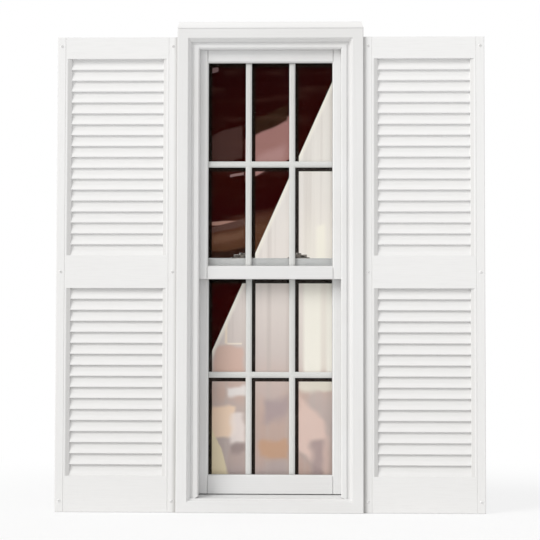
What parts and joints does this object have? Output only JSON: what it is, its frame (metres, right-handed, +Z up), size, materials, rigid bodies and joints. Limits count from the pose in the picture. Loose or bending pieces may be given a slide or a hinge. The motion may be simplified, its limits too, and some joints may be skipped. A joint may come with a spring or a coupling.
{
  "type": "louvred shutters",
  "caption": "Pair of moulded louvred exterior shutters beside a framed double-hung window with grilles, casing, drip cap, sliding sashes and cam locks.",
  "frame": {"origin": "on the face of the wall, at the middle of the bottom casing's lower edge", "axes": "+X to the right seen from outdoors, +Y into the wall, +Z up; outdoors is -Y"},
  "size_m": [1.3506, 0.1315, 1.548],
  "materials": {
    "shutter": "white moulded copolymer, faint grain, satin",
    "casing": "white painted, satin",
    "frame_vinyl": "white vinyl, soft gloss",
    "sash_vinyl": "white vinyl, soft gloss",
    "clear_glass": "clear float glass",
    "tinted_glass": "darkened by the unlit room that it shows",
    "spacer": "mill",
    "grille": "white, satin",
    "gasket": "pale glazing tape",
    "rubber": "matt",
    "balance_tube": "white tube",
    "balance_rod": "plain steel",
    "painted_screws": "white painted head",
    "plain_screws": "zinc plated",
    "lock": "white enamelled die-casting",
    "seal": "grey pile and foam"
  },
  "bodies": {
    "frame": {"left_casing": "casing", "right_casing": "casing", "head_casing": "casing", "bottom_casing": "casing", "drip_cap": "casing", "left_jamb": "frame_vinyl", "right_jamb": "frame_vinyl", "head_jamb": "frame_vinyl", "sill": "frame_vinyl", "left_shutter": "shutter", "right_shutter": "shutter", "left_shutter_screws": "painted_screws", "right_shutter_screws": "painted_screws", "left_upper_balance_tube": "balance_tube", "right_upper_balance_tube": "balance_tube", "left_lower_balance_tube": "balance_tube", "right_lower_balance_tube": "balance_tube", "balance_screws": "plain_screws"},
    "upper_sash": {"upper_left_stile": "sash_vinyl", "upper_right_stile": "sash_vinyl", "upper_top_rail": "sash_vinyl", "meeting_rail": "sash_vinyl", "upper_outer_pane": "clear_glass", "upper_inner_pane": "tinted_glass", "upper_spacer": "spacer", "upper_grille": "grille", "upper_gasket": "gasket", "upper_setting_blocks": "rubber", "left_upper_balance_rod": "balance_rod", "right_upper_balance_rod": "balance_rod", "left_keeper": "lock", "right_keeper": "lock", "keeper_screws": "plain_screws", "head_seal": "seal", "upper_side_seals": "seal"},
    "lower_sash": {"lower_left_stile": "sash_vinyl", "lower_right_stile": "sash_vinyl", "check_rail": "sash_vinyl", "bottom_rail": "sash_vinyl", "lower_outer_pane": "clear_glass", "lower_inner_pane": "tinted_glass", "lower_spacer": "spacer", "lower_grille": "grille", "lower_gasket": "gasket", "lower_setting_blocks": "rubber", "left_lower_balance_rod": "balance_rod", "right_lower_balance_rod": "balance_rod", "left_lock_base": "lock", "right_lock_base": "lock", "lock_screws": "plain_screws", "sill_seal": "seal", "meeting_seal": "seal", "lower_side_seals": "seal"},
    "left_lock_lever": {"left_lock_lever": "lock"},
    "right_lock_lever": {"right_lock_lever": "lock"}
  },
  "joints": [
    {"name": "upper_sash_slide", "type": "slide", "parent": "frame", "child": "upper_sash", "axis": [0, 0, -1], "range_m": [0, 0.6]},
    {"name": "lower_sash_slide", "type": "slide", "parent": "frame", "child": "lower_sash", "axis": [0, 0, 1], "range_m": [0, 0.6]},
    {"name": "left_lock_turn", "type": "hinge", "parent": "lower_sash", "child": "left_lock_lever", "pos_m": [-0.09, 0.05, 0.808], "axis": [0, 0, -1], "range_deg": [0, 90]},
    {"name": "right_lock_turn", "type": "hinge", "parent": "lower_sash", "child": "right_lock_lever", "pos_m": [0.09, 0.05, 0.808], "axis": [0, 0, -1], "range_deg": [0, 90]}
  ]
}
